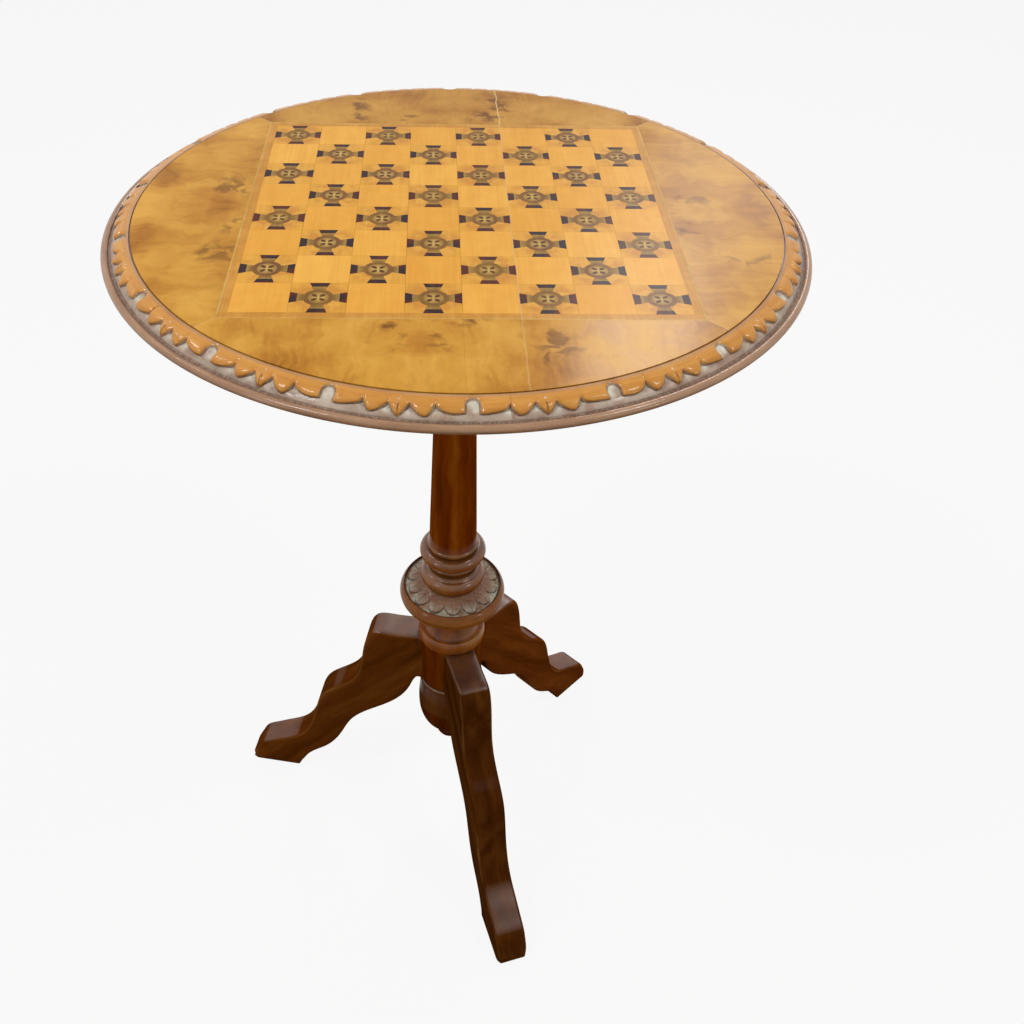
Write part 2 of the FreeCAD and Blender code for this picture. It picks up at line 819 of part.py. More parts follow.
os.makedirs("parts", exist_ok=True)
for name, shape in nodes.items():
    shape.exportStep("parts/" + name + ".step")
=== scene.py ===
import math
import bpy
import mathutils
import numpy as np
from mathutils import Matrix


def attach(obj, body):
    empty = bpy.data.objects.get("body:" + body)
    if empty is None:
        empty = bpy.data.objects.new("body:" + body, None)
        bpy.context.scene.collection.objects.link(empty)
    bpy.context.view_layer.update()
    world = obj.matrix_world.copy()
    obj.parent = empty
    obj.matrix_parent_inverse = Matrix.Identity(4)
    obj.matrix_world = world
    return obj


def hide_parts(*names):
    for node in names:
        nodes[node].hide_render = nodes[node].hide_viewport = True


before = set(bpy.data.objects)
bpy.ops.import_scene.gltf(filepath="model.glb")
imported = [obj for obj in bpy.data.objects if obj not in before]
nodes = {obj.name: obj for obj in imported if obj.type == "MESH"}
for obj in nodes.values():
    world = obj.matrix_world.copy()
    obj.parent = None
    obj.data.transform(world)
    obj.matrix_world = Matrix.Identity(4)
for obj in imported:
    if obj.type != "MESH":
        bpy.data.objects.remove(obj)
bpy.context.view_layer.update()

# Legs
# Three legs, each sawn from its own walnut plank in a double wave, the long edges eased by hand.
# They are French polished dark, coped round the hub and held to it by a slid dovetail.
MM = 0.001
leg_bearings = {"leg_front": -74.4, "leg_right": 44.5, "leg_left": 169.4}
leg_rise, leg_reach, leg_half, leg_round = 252.0, 234.0, 16.0, 3.4
leg_toe, toe_rounding = 7.0, 7.0
hub_radius = 32.0
upper_wave = np.array([
    (0.087, 1.0), (0.17, 1.0), (0.26, 0.998), (0.34, 0.99), (0.377, 0.929), (0.397, 0.828),
    (0.441, 0.688), (0.527, 0.612), (0.594, 0.555), (0.633, 0.465), (0.672, 0.33), (0.744, 0.222),
    (0.84, 0.17), (0.9, 0.14), (0.945, 0.115), (0.975, 0.07)])
lower_wave = np.array([
    (0.087, 0.775), (0.135, 0.762), (0.177, 0.69), (0.225, 0.607), (0.31, 0.53), (0.397, 0.467),
    (0.464, 0.4), (0.527, 0.28), (0.608, 0.168), (0.698, 0.092), (0.737, 0.035), (0.761, 0)])


def linear(code):
    """An sRGB hex colour as linear RGBA: c / 12.92 below 0.04045, else ((c + 0.055) / 1.055) ** 2.4."""
    c = np.array([int(code[i:i + 2], 16) for i in (1, 3, 5)]) / 255
    return (*np.where(c <= 0.04045, c / 12.92, ((c + 0.055) / 1.055) ** 2.4), 1.0)


def put(tree, kind, sockets, out=0, stops=(), **settings):
    """Adds one node: settings are its own values, sockets maps its inputs to a value or to another
    node's output, and stops are a ramp's (place, hex) pairs. Gives back the output called out."""
    node = tree.nodes.new("ShaderNode" + kind)
    for key, value in settings.items():
        setattr(node, key, value)
    for key, value in sockets.items():
        if isinstance(value, bpy.types.NodeSocket):
            tree.links.new(value, node.inputs[key])
        else:
            node.inputs[key].default_value = value
    for number, (place, code) in enumerate(stops):
        ramp = node.color_ramp.elements
        stop = ramp[number] if number < 2 else ramp.new(place)
        stop.position, stop.color = place, linear(code)
    return node.outputs[out] if len(node.outputs) else node


def finish(name):
    """A new, empty material of that name and its node tree."""
    material = bpy.data.materials.new(name)
    material.use_nodes = True
    material.node_tree.nodes.clear()
    return material, material.node_tree


def surface(name, points, wrap, caps, fields, middles=None):
    """Mesh of points[u, v] in metres: a quad between neighbours, wrapped round v where asked. Where caps is
    set the first and last row are closed by a fan about middles, or else about the row's mean.
    fields are arrays [u, v] or [u, v, 3] kept on the points. Six times the volume is the sum of
    a . (b x c): if that is below 0 the faces are turned round."""
    rows, cols = points.shape[:2]
    index = np.arange(rows * cols).reshape(rows, cols)
    if wrap:
        index = np.hstack([index, index[:, :1]])
    quads = np.stack([index[:-1, :-1], index[1:, :-1], index[1:, 1:], index[:-1, 1:]], -1).reshape(-1, 4)
    tris = np.zeros((0, 3), int)
    if caps:
        ends = [(index[0], rows * cols), (index[-1][::-1], rows * cols + 1)]
        tris = np.vstack([np.stack([e[:-1], e[1:], np.full(len(e) - 1, c)], -1) for e, c in ends])

    def on_points(values):
        flat = values.reshape(rows * cols, -1)
        if not caps:
            return flat
        return np.vstack([flat] + [values[row].reshape(cols, -1).mean(0) for row in (0, -1)])

    places = on_points(points)
    if middles is not None:
        places[-2:] = middles
    a, b, c = (places[np.vstack([quads[:, [0, 1, 2]], quads[:, [0, 2, 3]], tris])][:, k] for k in range(3))
    if (a * np.cross(b, c)).sum() < 0:
        quads, tris = quads[:, ::-1], tris[:, ::-1]
    mesh = bpy.data.meshes.new(name)
    mesh.from_pydata(places.tolist(), [], quads.tolist() + tris.tolist())
    for key, values in fields.items():
        kind = "FLOAT_VECTOR" if values.ndim == 3 else "FLOAT"
        attribute = mesh.attributes.new(key, kind, "POINT")
        attribute.data.foreach_set("vector" if values.ndim == 3 else "value", on_points(values).ravel())
    mesh.shade_smooth()
    mesh.set_sharp_from_angle(angle=math.radians(38))
    return mesh


def piece(mesh, material, body, slot, *stands_for):
    """Puts the mesh in the scene as a piece that rides on body and stands for the named CAD nodes."""
    thing = bpy.data.objects.new(mesh.name, mesh)
    bpy.context.scene.collection.objects.link(thing)
    mesh.materials.append(material)
    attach(thing, body)
    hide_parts(*stands_for)


def smooth_line(points, count):
    """Natural cubic spline through points by chord length t: the second slopes m solve
    h0 m0 + 2 (h0 + h1) m1 + h1 m2 = 6 (s1 - s0), with h the steps of t and s the chord slopes."""
    t = np.r_[0, np.cumsum(np.hypot(*np.diff(points, axis=0).T))]
    h = np.diff(t)
    inner = np.arange(1, len(t) - 1)
    terms = np.eye(len(t))
    terms[inner, inner - 1] = h[:-1]
    terms[inner, inner] = 2 * (h[:-1] + h[1:])
    terms[inner, inner + 1] = h[1:]
    right = np.zeros_like(points)
    right[1:-1] = 6 * np.diff(np.diff(points, axis=0) / h[:, None], axis=0)
    m = np.linalg.solve(terms, right)
    u = np.linspace(0, t[-1], count)
    k = np.clip(np.searchsorted(t, u) - 1, 0, len(t) - 2)
    a, b, step = (t[k + 1] - u)[:, None], (u - t[k])[:, None], h[k][:, None]
    return (m[k] * a ** 3 + m[k + 1] * b ** 3) / (6 * step) \
        + (points[k] / step - m[k] * step / 6) * a + (points[k + 1] / step - m[k + 1] * step / 6) * b


def even_line(points, count):
    """The same broken line with count points evenly spaced along it."""
    t = np.r_[0, np.cumsum(np.hypot(*np.diff(points, axis=0).T))]
    u = np.linspace(0, t[-1], count)
    return np.stack([np.interp(u, t, points[:, 0]), np.interp(u, t, points[:, 1])], -1)


def leg_mesh(name, bearing):
    """A leg as a ring carried from hub to toe. share goes from 0 at the upper edge to 1 at the lower one:
    a point is (1 - share) (top + n e dip) + share (low + n e dip), e being the easing, n the edge's
    inward normal and dip 1 - cos w; it lies (half - e) flat + e sin w to the side. Near the toe the
    ring narrows as a round nose."""
    stations = 160
    w = np.linspace(0, math.pi / 2, 6)
    flat = np.r_[0, 1 / 3, 2 / 3, np.ones(22), 2 / 3, 1 / 3, 0]
    bulge = np.r_[0, 0, 0, np.sin(w), np.ones(10), np.sin(w[::-1]), 0, 0, 0]
    share = np.r_[np.zeros(9), np.linspace(0, 1, 12)[1:-1], np.ones(9)]
    worn = np.r_[0, 0, 0, np.sin(2 * w), np.zeros(10), np.sin(2 * w), 0, 0, 0]
    side = np.r_[np.ones(28), -np.ones(26)]
    flat, bulge, share, worn = (np.r_[half, half[-2:0:-1]] for half in (flat, bulge, share, worn))
    dip = 1 - np.sqrt(1 - bulge ** 2)
    scale = np.array([leg_reach, leg_rise])
    upper = np.vstack([smooth_line(upper_wave * scale, 240), [[leg_reach, leg_toe]]])
    lower = np.vstack([smooth_line(lower_wave * scale, 240), [[leg_reach, 0]]])
    place, easing = 0, 0
    for edge, inward, weight in ((upper, -1, 1 - share), (lower, 1, share)):
        edge = even_line(edge[edge[:, 0] > hub_radius + 1], stations)
        run = np.gradient(edge, axis=0)
        run /= np.hypot(*run.T)[:, None]
        normal = inward * np.stack([-run[:, 1], run[:, 0]], -1)
        e = np.clip(edge[:, 1] / 2, 0.2, leg_round)[:, None]
        place = place + weight[:, None] * (edge[:, None] + normal[:, None] * (e * dip)[..., None])
        easing = easing + weight * e
    r, z = np.moveaxis(place, -1, 0)
    nose = np.clip((r - leg_reach + toe_rounding) / toe_rounding, 0, 1)
    y = side * ((leg_half - easing) * flat + easing * bulge) * (1 - 0.2 * nose ** 2)
    r = np.vstack([np.sqrt((hub_radius + 0.06) ** 2 - y[:1] ** 2), r])
    y, z = (np.vstack([field[:1], field]) for field in (y, np.maximum(z, 0)))
    turn = math.radians(bearing)
    x = r * math.cos(turn) - y * math.sin(turn)
    points = np.stack([x, r * math.sin(turn) + y * math.cos(turn), z], -1) * MM
    grain = np.stack([(r - z) * math.sqrt(0.5) + 3 * bearing, (r + z) * math.sqrt(0.5), y], -1) * MM
    # painted shade: a dark band on the leg where it meets the hub, kept in the line attribute
    seat_shade = np.exp(-((r - hub_radius) / 1.5) ** 2)
    return surface(name, points, True, True, {"grain": grain, "rub": 0.55 * worn + 0 * r, "line": seat_shade})


def walnut(name, dark, middle, light, gloss, flat, sheen):
    """Walnut under dark French polish: long streaks 14 mm wide, pores 1 mm wide drawn a little coarse so
    that they show, polish worn thin along the eased edges, and painted shade, near-black, laid in the
    hollows and at the leg seats by the line attribute. Faces that look up are waxed more often than
    upright ones: the shine grows from none to sheen as the normal's height goes from flat[0] to flat[1]."""
    material, tree = finish(name)
    grain = put(tree, "Attribute", {}, out="Vector", attribute_name="grain")
    wave = put(tree, "TexNoise", {"Vector": grain, "Scale": 1 / 0.05, "Detail": 2.0}, out="Color")
    sway = put(tree, "VectorMath", {0: wave, 1: (0.0, 0.012, 0.012)}, operation="MULTIPLY")
    bent = put(tree, "VectorMath", {0: grain, 1: sway}, operation="ADD")
    long = put(tree, "VectorMath", {0: bent, 1: (1 / 0.16, 1 / 0.014, 1 / 0.014)}, operation="MULTIPLY")
    streak = put(tree, "TexNoise", {"Vector": long, "Scale": 1.0, "Detail": 5.0, "Roughness": 0.55})
    fine = put(tree, "VectorMath", {0: bent, 1: (1 / 0.02, 1 / 0.0011, 1 / 0.0011)}, operation="MULTIPLY")
    pores = put(tree, "TexNoise", {"Vector": fine, "Scale": 1.0, "Detail": 2.0})
    cloud = put(tree, "TexNoise", {"Vector": grain, "Scale": 1 / 0.035, "Detail": 4.0})
    wood = put(tree, "ValToRGB", {"Fac": streak}, stops=((0.3, dark), (0.7, light), (0.5, middle)))
    pore = put(tree, "MapRange", {"Value": pores, "From Min": 0.58, "From Max": 0.72, "To Max": 0.4})
    wood = put(tree, "Mix", {0: pore, 6: wood, 7: linear(dark)}, out=2, data_type="RGBA")
    rub = put(tree, "Attribute", {}, out="Fac", attribute_name="rub")
    thin = put(tree, "Math", {0: rub, 1: cloud}, operation="MULTIPLY")
    thin = put(tree, "MapRange", {"Value": thin, "From Min": 0.2, "From Max": 0.7, "To Max": 0.7})
    wood = put(tree, "Mix", {0: thin, 6: wood, 7: linear("#a4783f")}, out=2, data_type="RGBA")
    # painted shade: the line attribute darkens hollows, bands under the collar and the leg seats towards
    # near-black
    line = put(tree, "Attribute", {}, out="Fac", attribute_name="line")
    wood = put(tree, "Mix", {0: line, 6: wood, 7: linear("#160802")}, out=2, data_type="RGBA")
    up = put(tree, "SeparateXYZ", {"Vector": put(tree, "NewGeometry", {}, out="Normal")}, out="Z")
    shiny = put(tree, "MapRange", {"Value": up, "From Min": flat[0], "From Max": flat[1], "To Max": sheen})
    rough = put(tree, "MapRange", {"Value": cloud, "From Min": 0.3, "From Max": 0.7,
                                   "To Min": gloss, "To Max": gloss + 0.16})
    bump = put(tree, "Bump", {"Height": pores, "Strength": 0.1, "Distance": 0.0006})
    shine = put(tree, "BsdfPrincipled", {"Base Color": wood, "Roughness": rough, "Normal": bump, "IOR": 1.5,
                                         "Specular IOR Level": shiny})
    put(tree, "OutputMaterial", {"Surface": shine})
    return material


# The front leg's tones are darker than the other two as painted shade on the leg facing away from the lamps;
# the other two differ as their planks do.
leg_tones_and_front_shade = {
    "leg_front": ("#371905", "#492408", "#5a320f"),
    "leg_right": ("#522507", "#67320b", "#784013"),
    "leg_left": ("#4e2507", "#61310b", "#734014")}
for node, bearing in leg_bearings.items():
    plank = walnut("polished_walnut_" + node, *leg_tones_and_front_shade[node], 0.3, (0.78, 1.0), 0.9)
    piece(leg_mesh("polished_" + node, bearing), plank, "base", "sawn_walnut", node)

# Hub, drop and pillar
# Turned from solid walnut on a lathe and polished while spinning, so their rings catch bright lines.
# The drop is dowelled under the hub, and the pillar's spigot goes through the collar into it.
hub_foot, hub_ring, hub_neck, collar_foot = 192.0, 252.06, 268.06, 306.06
collar_top = 332.06
block_foot, underside = 663.5, 697.5


def moulding(start, *steps):
    """Profile of a turned piece as (r, z) points: a step of one point is a straight line to it, and a
    step of two is an arc through the first, whose centre is as far from all three points."""
    line = [np.array([start], float)]
    for step in steps:
        here = line[-1][-1]
        ends = np.array(step, float)
        if len(ends) == 1:
            line.append(ends)
            continue
        sides = ends - here
        centre = here + np.linalg.solve(2 * sides, (sides ** 2).sum(1))
        spokes = np.vstack([here, ends]) - centre
        angles = np.unwrap(np.arctan2(spokes[:, 1], spokes[:, 0]))
        sweep = np.linspace(angles[0], angles[2], 19)[1:]
        line.append(centre + math.hypot(*spokes[0]) * np.stack([np.cos(sweep), np.sin(sweep)], -1))
    return np.vstack(line)


def lathe(name, profile, shade_bands, worn, shade_below):
    """The profile turned round the axis: (r cos a, r sin a, z), for 128 angles a, closed at both ends,
    with rows at most 1.5 mm apart. shade_bands are (height, half width) of painted shade in hollows.
    Between the heights of worn cloths have thinned the polish on the rings. Below the height
    shade_below[0] painted shade darkens the piece by the share shade_below[1]."""
    a = np.linspace(0, 2 * math.pi, 128, endpoint=False)
    runs = np.diff(profile, axis=0)
    steps = [np.linspace(0, 1, 1 + math.ceil(np.hypot(*run) / 1.5))[1:, None] * run for run in runs]
    profile = np.vstack([profile[:1]] + [start + step for start, step in zip(profile, steps)])
    r, z = profile[:, :1], profile[:, 1:]
    points = np.stack([r * np.cos(a), r * np.sin(a), z + 0 * a], -1) * MM
    heights, widths = np.array(shade_bands).T
    # painted shade in the bands and below shade_below[0], kept in the line attribute
    dirt = 0.65 * np.exp(-((z - heights) / widths) ** 2).max(1, keepdims=True)
    dirt = np.maximum(dirt, shade_below[1] * np.clip((shade_below[0] - z) / 3, 0, 1))
    rub = 0.72 * (z > worn[0]) * (z < worn[1])
    return surface(name, points, True, True, {
        "grain": points[..., [2, 0, 1]], "rub": rub + 0 * a, "line": dirt + 0 * a})


turned_walnut = walnut("polished_turned_walnut", "#5e2403", "#7e3604", "#98510e", 0.12, (0.08, 0.6), 0.65)
hub_ring_radius, ledge_radius, waist_radius, head_radius = 33.8, 29.0, 25.0, 27.0
hub_line = moulding(
    (1, hub_foot), ((hub_radius - 1, hub_foot),), ((hub_radius, hub_foot + 1),), ((hub_radius, hub_ring),),
    ((hub_ring_radius, (hub_ring + hub_neck) / 2), (hub_radius, hub_neck)), ((ledge_radius, hub_neck),),
    ((waist_radius, (hub_neck + collar_foot) / 2), (head_radius, collar_foot)), ((1, collar_foot),))
# Painted shade: dark bands at the hub's joints, a wide one under the collar, and the hub below its ring
# darkened between the legs.
hub_shade_bands = [(hub_foot, 0.6), (hub_ring, 0.6), (hub_neck + 0.8, 0.5), (collar_foot, 6.0)]
piece(lathe("polished_hub", hub_line, hub_shade_bands, (hub_ring, collar_foot), (hub_ring, 0.5)),
      turned_walnut, "base", "turned_walnut", "leg_hub")
drop_foot, ball = 85.5, 15.0
ball_neck = 0.75 * ball
neck_z = drop_foot + ball + math.sqrt(ball ** 2 - ball_neck ** 2)
bulb_radius, bulb_z = 34.0, 151.2
taper = neck_z - bulb_z
drop_top = hub_foot - 0.05
drop_bead = moulding((1, drop_top), ((hub_radius, drop_top),),
                     ((hub_radius + 1.3, hub_foot - 2.6), (hub_radius, hub_foot - 5.2)))
bulb = smooth_line(np.array([
    (hub_radius - 0.6, hub_foot - 6), (bulb_radius, bulb_z), (31.6, bulb_z + 0.5 * taper),
    (23.1, bulb_z + 0.87 * taper), (ball_neck, neck_z)]), 60)
ball_line = moulding((ball_neck, neck_z), ((ball, drop_foot + ball), (0.2, drop_foot)))
drop_line = np.vstack([drop_bead, bulb, ball_line[1:]])
# Painted shade: dark bands at the drop's joints, and the whole drop darkened as it hangs under the hub.
drop_shade_bands = [(height, 0.6) for height in (hub_foot, hub_foot - 5.6, neck_z)]
piece(lathe("polished_drop", drop_line, drop_shade_bands, (bulb_z, hub_foot), (hub_foot + 3, 0.6)),
      turned_walnut, "base", "turned_walnut", "turned_drop")
foot_radius, neck_radius, waist_top_radius, tenon_radius = 26.5, 23.5, 15.6, 14.0
tenon_top = underside - 0.35
pillar_rings = moulding(
    (1, 0), ((foot_radius, 0),), ((30.6, 8), (27, 15.4)), ((24.5, 17), (neck_radius, 20)),
    ((neck_radius, 25),), ((26, 27), (neck_radius, 29)), ((neck_radius, 31),), ((26, 31),),
    ((31.3, 38.25), (24.6, 45.5)), ((24.1, 45.6),), ((24.6, 48), (23.6, 50.5)),
    ((22.3, 57.75), (22, 65))) + (0, collar_top)
pillar_shaft = moulding(
    pillar_rings[-1], ((waist_top_radius, block_foot - 33),),
    ((19, block_foot - 29.5), (waist_top_radius, block_foot - 26)), ((23, block_foot),),
    ((tenon_radius, block_foot),), ((tenon_radius, tenon_top),), ((1, tenon_top),))
pillar_line = np.vstack([pillar_rings, pillar_shaft[1:]])
# Painted shade: dark lines where the rings meet the collar and each other, and a wide band on the neck
# between the rings.
pillar_shade_bands = np.array([(0, 1.5), (22, 5.0), (30.5, 2.0), (46, 0.9)]) + (collar_top, 0)
rings_worn = (collar_top, collar_top + 51)
piece(lathe("polished_pillar", pillar_line, pillar_shade_bands, rings_worn, (collar_top, 0.5)),
      turned_walnut, "base", "turned_walnut", "pillar")

# Carved collar
# A turned walnut disc with a smooth rolled lip. Its sloping upper face is carved with a ring of
# leaves, and old dust has settled between them and along the groove inside the lip.
leaf_count = 14
leaf_cusp, leaf_tip = 35.5, 44.6
collar_bore, face_inner, face_outer, face_drop = 14.1, 26.5, 46.2, 8.0
groove_radius, lip_radius = 46.9, 51.4


def carved_collar():
    """The collar's profile turned round the axis, its face sunk along its normal by a depth that depends
    on the angle. A leaf ends at r = cusp + (tip - cusp) cos(pi p) ** 0.6, with p from -0.5 to 0.5
    across it. d, the distance inside that line, gives the relief by a smooth step, and a vein runs
    along p = 0 with ribs slanting from it."""
    around = np.linspace(0, 2 * math.pi, 840, endpoint=False)
    face_foot = collar_top - face_drop
    face = even_line(np.array([(face_inner, collar_top), (face_outer, face_foot)]), 64)
    inner = moulding((collar_bore, collar_foot), ((collar_bore, collar_top),),
                     ((face_inner - 0.1, collar_top),))
    lip = moulding((face_outer + 0.1, face_foot), ((groove_radius - 0.5, face_foot - 1.6),),
                   ((groove_radius + 0.5, face_foot - 1.6),), ((groove_radius + 0.6, face_foot + 1),),
                   ((lip_radius, collar_foot + 9.5), (face_outer, collar_foot)), ((20, collar_foot),))
    profile = np.vstack([inner, face, lip])
    r, z = profile[:, :1], profile[:, 1:]
    p = (around * leaf_count / (2 * math.pi)) % 1 - 0.5
    hand = 0.6 * np.sin(around * 5 + 1) + 0.4 * np.sin(around * 9)
    d = (leaf_cusp + (leaf_tip + hand - leaf_cusp) * np.cos(math.pi * p) ** 0.6 - r) / 1.7
    on_face = np.clip((r - face_inner) / 2.0, 0, 1) * np.clip((face_outer - r) / 0.6, 0, 1)
    relief = np.clip(d / 0.9 + 0.4, 0, 1)
    relief = relief * relief * (3 - 2 * relief)
    across = np.abs(p) * r * 2 * math.pi / leaf_count
    vein = np.exp(-(across / 0.7) ** 2) * np.clip((r - 29) / 3, 0, 1)
    ribs = 0.5 + 0.5 * np.sin((r - 0.9 * across) * 1.6 + 2 * hand)
    roll = np.clip(1 - d / 2.6, 0, 1) ** 2
    sunk = ((1 - relief) * 2.1 + relief * (0.6 * vein + 0.2 * ribs + 1.0 * roll)) * on_face
    fall = np.array([face_drop, face_outer - face_inner])
    fall /= math.hypot(*fall)
    points = np.stack([(r - sunk * fall[0]) * np.cos(around), (r - sunk * fall[0]) * np.sin(around),
                       z - sunk * fall[1]], -1) * MM
    # Painted shade for the line attribute: in the groove inside the lip, just outside each leaf's outline
    # and down the veins.
    groove = np.clip(1.2 - np.abs(r - groove_radius) / 0.8, 0, 1)
    groove = groove * (z > face_foot - 2) * (z < face_foot + 1.5)
    edge = np.exp(-((d + 0.1) / 0.42) ** 2) * on_face
    dust = on_face * (1 - relief + relief * 0.75 * np.clip((r - 35) / 8, 0, 1))
    return surface("carved_leaf_collar", points, True, True, {
        "grain": points, "rub": relief * on_face, "dust": np.clip(dust, 0, 1),
        "line": np.clip(groove + edge + 0.25 * vein * on_face * relief, 0, 1)})


def carved_walnut(name, ground, raised, dusty, dirt, gloss, sheen):
    """Walnut cut with gouges and polished: the raised parts are rubbed bright, the ground is darker and
    matt, pale dust lies in the hollows, and the colour dirt is painted shade laid in grooves and
    under carved edges by the line attribute. ground and raised are a darker and a lighter tone of
    each, for streaks 5 mm wide."""
    material, tree = finish(name)
    grain = put(tree, "Attribute", {}, out="Vector", attribute_name="grain")
    long = put(tree, "VectorMath", {0: grain, 1: (1 / 0.04, 1 / 0.005, 1 / 0.005)}, operation="MULTIPLY")
    streak = put(tree, "TexNoise", {"Vector": long, "Scale": 1.0, "Detail": 5.0, "Roughness": 0.6})
    cloud = put(tree, "TexNoise", {"Vector": grain, "Scale": 1 / 0.009, "Detail": 4.0})
    speck = put(tree, "TexNoise", {"Vector": grain, "Scale": 1 / 0.0018, "Detail": 4.0})
    low = put(tree, "ValToRGB", {"Fac": streak}, stops=((0.3, ground[0]), (0.7, ground[1])))
    high = put(tree, "ValToRGB", {"Fac": streak}, stops=((0.3, raised[0]), (0.7, raised[1])))
    rub = put(tree, "Attribute", {}, out="Fac", attribute_name="rub")
    wood = put(tree, "Mix", {0: rub, 6: low, 7: high}, out=2, data_type="RGBA")
    dust = put(tree, "Attribute", {}, out="Fac", attribute_name="dust")
    patch = put(tree, "MapRange", {"Value": cloud, "From Min": 0.36, "From Max": 0.6, "To Min": 0.2})
    grey = put(tree, "Math", {0: dust, 1: patch}, operation="MULTIPLY", use_clamp=True)
    wood = put(tree, "Mix", {0: grey, 6: wood, 7: linear(dusty)}, out=2, data_type="RGBA")
    # painted shade: the line attribute, broken by specks, darkens towards the dirt colour
    line = put(tree, "Attribute", {}, out="Fac", attribute_name="line")
    broken = put(tree, "MapRange", {"Value": speck, "From Min": 0.35, "From Max": 0.6, "To Min": 0.4})
    line = put(tree, "Math", {0: line, 1: broken}, operation="MULTIPLY")
    wood = put(tree, "Mix", {0: line, 6: wood, 7: linear(dirt)}, out=2, data_type="RGBA")
    rough = put(tree, "MapRange", {"Value": grey, "To Min": gloss, "To Max": 0.75})
    shiny = put(tree, "MapRange", {"Value": grey, "To Min": sheen, "To Max": 0.06})
    up = put(tree, "SeparateXYZ", {"Vector": put(tree, "NewGeometry", {}, out="Normal")}, out="Z")
    up = put(tree, "MapRange", {"Value": up, "From Min": -0.1, "From Max": 0.4})
    shiny = put(tree, "Math", {0: shiny, 1: up}, operation="MULTIPLY")
    bump = put(tree, "Bump", {"Height": speck, "Strength": 0.25, "Distance": 0.0004})
    shine = put(tree, "BsdfPrincipled", {"Base Color": wood, "Roughness": rough, "Normal": bump, "IOR": 1.5,
                                         "Specular IOR Level": shiny})
    put(tree, "OutputMaterial", {"Surface": shine})
    return material


# the fourth colour is painted shade for the groove and the leaves' outlines
collar_walnut = carved_walnut("carved_collar_walnut", ("#763f0e", "#90571d"), ("#7d5845", "#a07a60"),
                              "#c0c1ae", "#221006", 0.18, 0.2)
piece(carved_collar(), collar_walnut, "base", "carved_walnut", "carved_collar")

# Carved rim
# Six walnut segments glued round the core, run with a rounded slope and an outer bead and then carved:
# tongues hang from a plain band, an eye is scooped in each repeat, and dust lies in the hollows.
table_top, rim_depth = 716.0, 18.5
field_radius, quirk_radius, quirk_depth = 234.5, 235.3, 1.4
rim_repeats, rim_eye = 18, -89.1
slope_points = np.array([(235.5, -0.3), (242.4, -1.5), (247.5, -4.3), (250.8, -9.0)])
bead_radius, bead_middle = 2.9, np.array([253.5, -11.7])
half_repeat, wide_middle, wide_end, tongue_tip, tongue_end = 42.9, 9.5, 21.6, 27.2, 36.6
eye_depth, eye_radius = 6.8, 4.3
cusp_depth, notch_depth = 7.5, 7.8
pockets = ((21.3, 3.0, 10.5, 3.4), (36.4, 2.6, 11.5, 3.2))
joint_share, joint_gap = 0.255, 0.00003
middle_radius = 245


def rim_carving(q, s, turn):
    """Depth, raised share, dust and dark line of the carving at q mm from the middle of an eye and s mm
    down the slope. Tongues end at s = e(q): half an ellipse beside the eye, then a tongue with a
    steep and a long side, then half a bud. d = (e - s) / sqrt(1 + e'^2) is how far a point is inside
    its tongue. The eye is round above and open below: d is at most the distance from it. Each of the
    pockets is a dip exp(-((q - q0) / a)^2 - ((s - s0) / b)^2) between two tongues."""
    hand = 0.4 * np.sin(turn * 37.3 + 1.2) + 0.3 * np.sin(turn * 91.7)
    wide = (q - wide_middle) / (wide_end - wide_middle)
    wide = cusp_depth + 6.1 * np.sqrt(np.clip(1 - wide ** 2, 0, 1))
    steep = np.clip((q - wide_end) / (tongue_tip - wide_end), 0, 1)
    steep = cusp_depth + 8.5 * np.sin(steep * math.pi / 2) ** 0.8
    long = np.clip((q - tongue_tip) / (tongue_end - tongue_tip), 0, 1)
    long = notch_depth + 8.2 * (1 - long ** 1.8)
    tongue = np.where(q < tongue_tip, steep, long)
    near = np.clip((half_repeat - q) / (half_repeat - tongue_end), 0, 1)
    bud = notch_depth + 8.8 * (1 - near ** 1.4)
    end = np.where(q < wide_end, wide, np.where(q < tongue_end, tongue, bud)) + hand
    steepness = np.gradient(end, axis=0) / np.maximum(np.abs(np.gradient(q, axis=0)), 1e-6)
    d = (end - s) / np.sqrt(1 + np.clip(steepness, -6, 6) ** 2)
    d = np.minimum(d, np.hypot(q, np.minimum(s - eye_depth, 0)) - eye_radius)
    rise = np.clip((d + 0.3) / 1.0, 0, 1)
    rise = rise * rise * (3 - 2 * rise)
    roll = np.clip(1 - d / 3.6, 0, 1) ** 2
    pocket = sum(np.exp(-((q - q0) / a) ** 2 - ((s - s0) / b) ** 2) for q0, a, s0, b in pockets)
    scoop = np.clip(1 - np.hypot(q, s - 7.5) / 6.0, 0, 1)
    split = np.exp(-((half_repeat - q) / 0.6) ** 2) * np.clip((s - 7.0) / 2, 0, 1) * rise
    dimple = np.clip(1 - np.hypot(half_repeat - q, s - 5.2) / 1.2, 0, 1)
    cove = np.sin(np.clip((s - 3) / 15, 0, 1) * math.pi)
    depth = (1 - rise) * (1.6 + 1.3 * cove + 0.7 * pocket + 0.6 * scoop) \
        + rise * (1.25 * roll + 0.9 * split + 0.9 * dimple)
    dust = (1 - rise) * np.clip(0.3 + 1.2 * pocket + 1.4 * scoop, 0, 1) + dimple
    # painted shadow just outside each tongue's edge, and painted shade down the splits between tongues
    line = 0.85 * np.exp(-((d + 0.25) / 0.45) ** 2) + 0.6 * split
    raised = rise * np.clip((s - 0.8) / 1.8, 0.55, 1)
    return depth, raised, dust, line


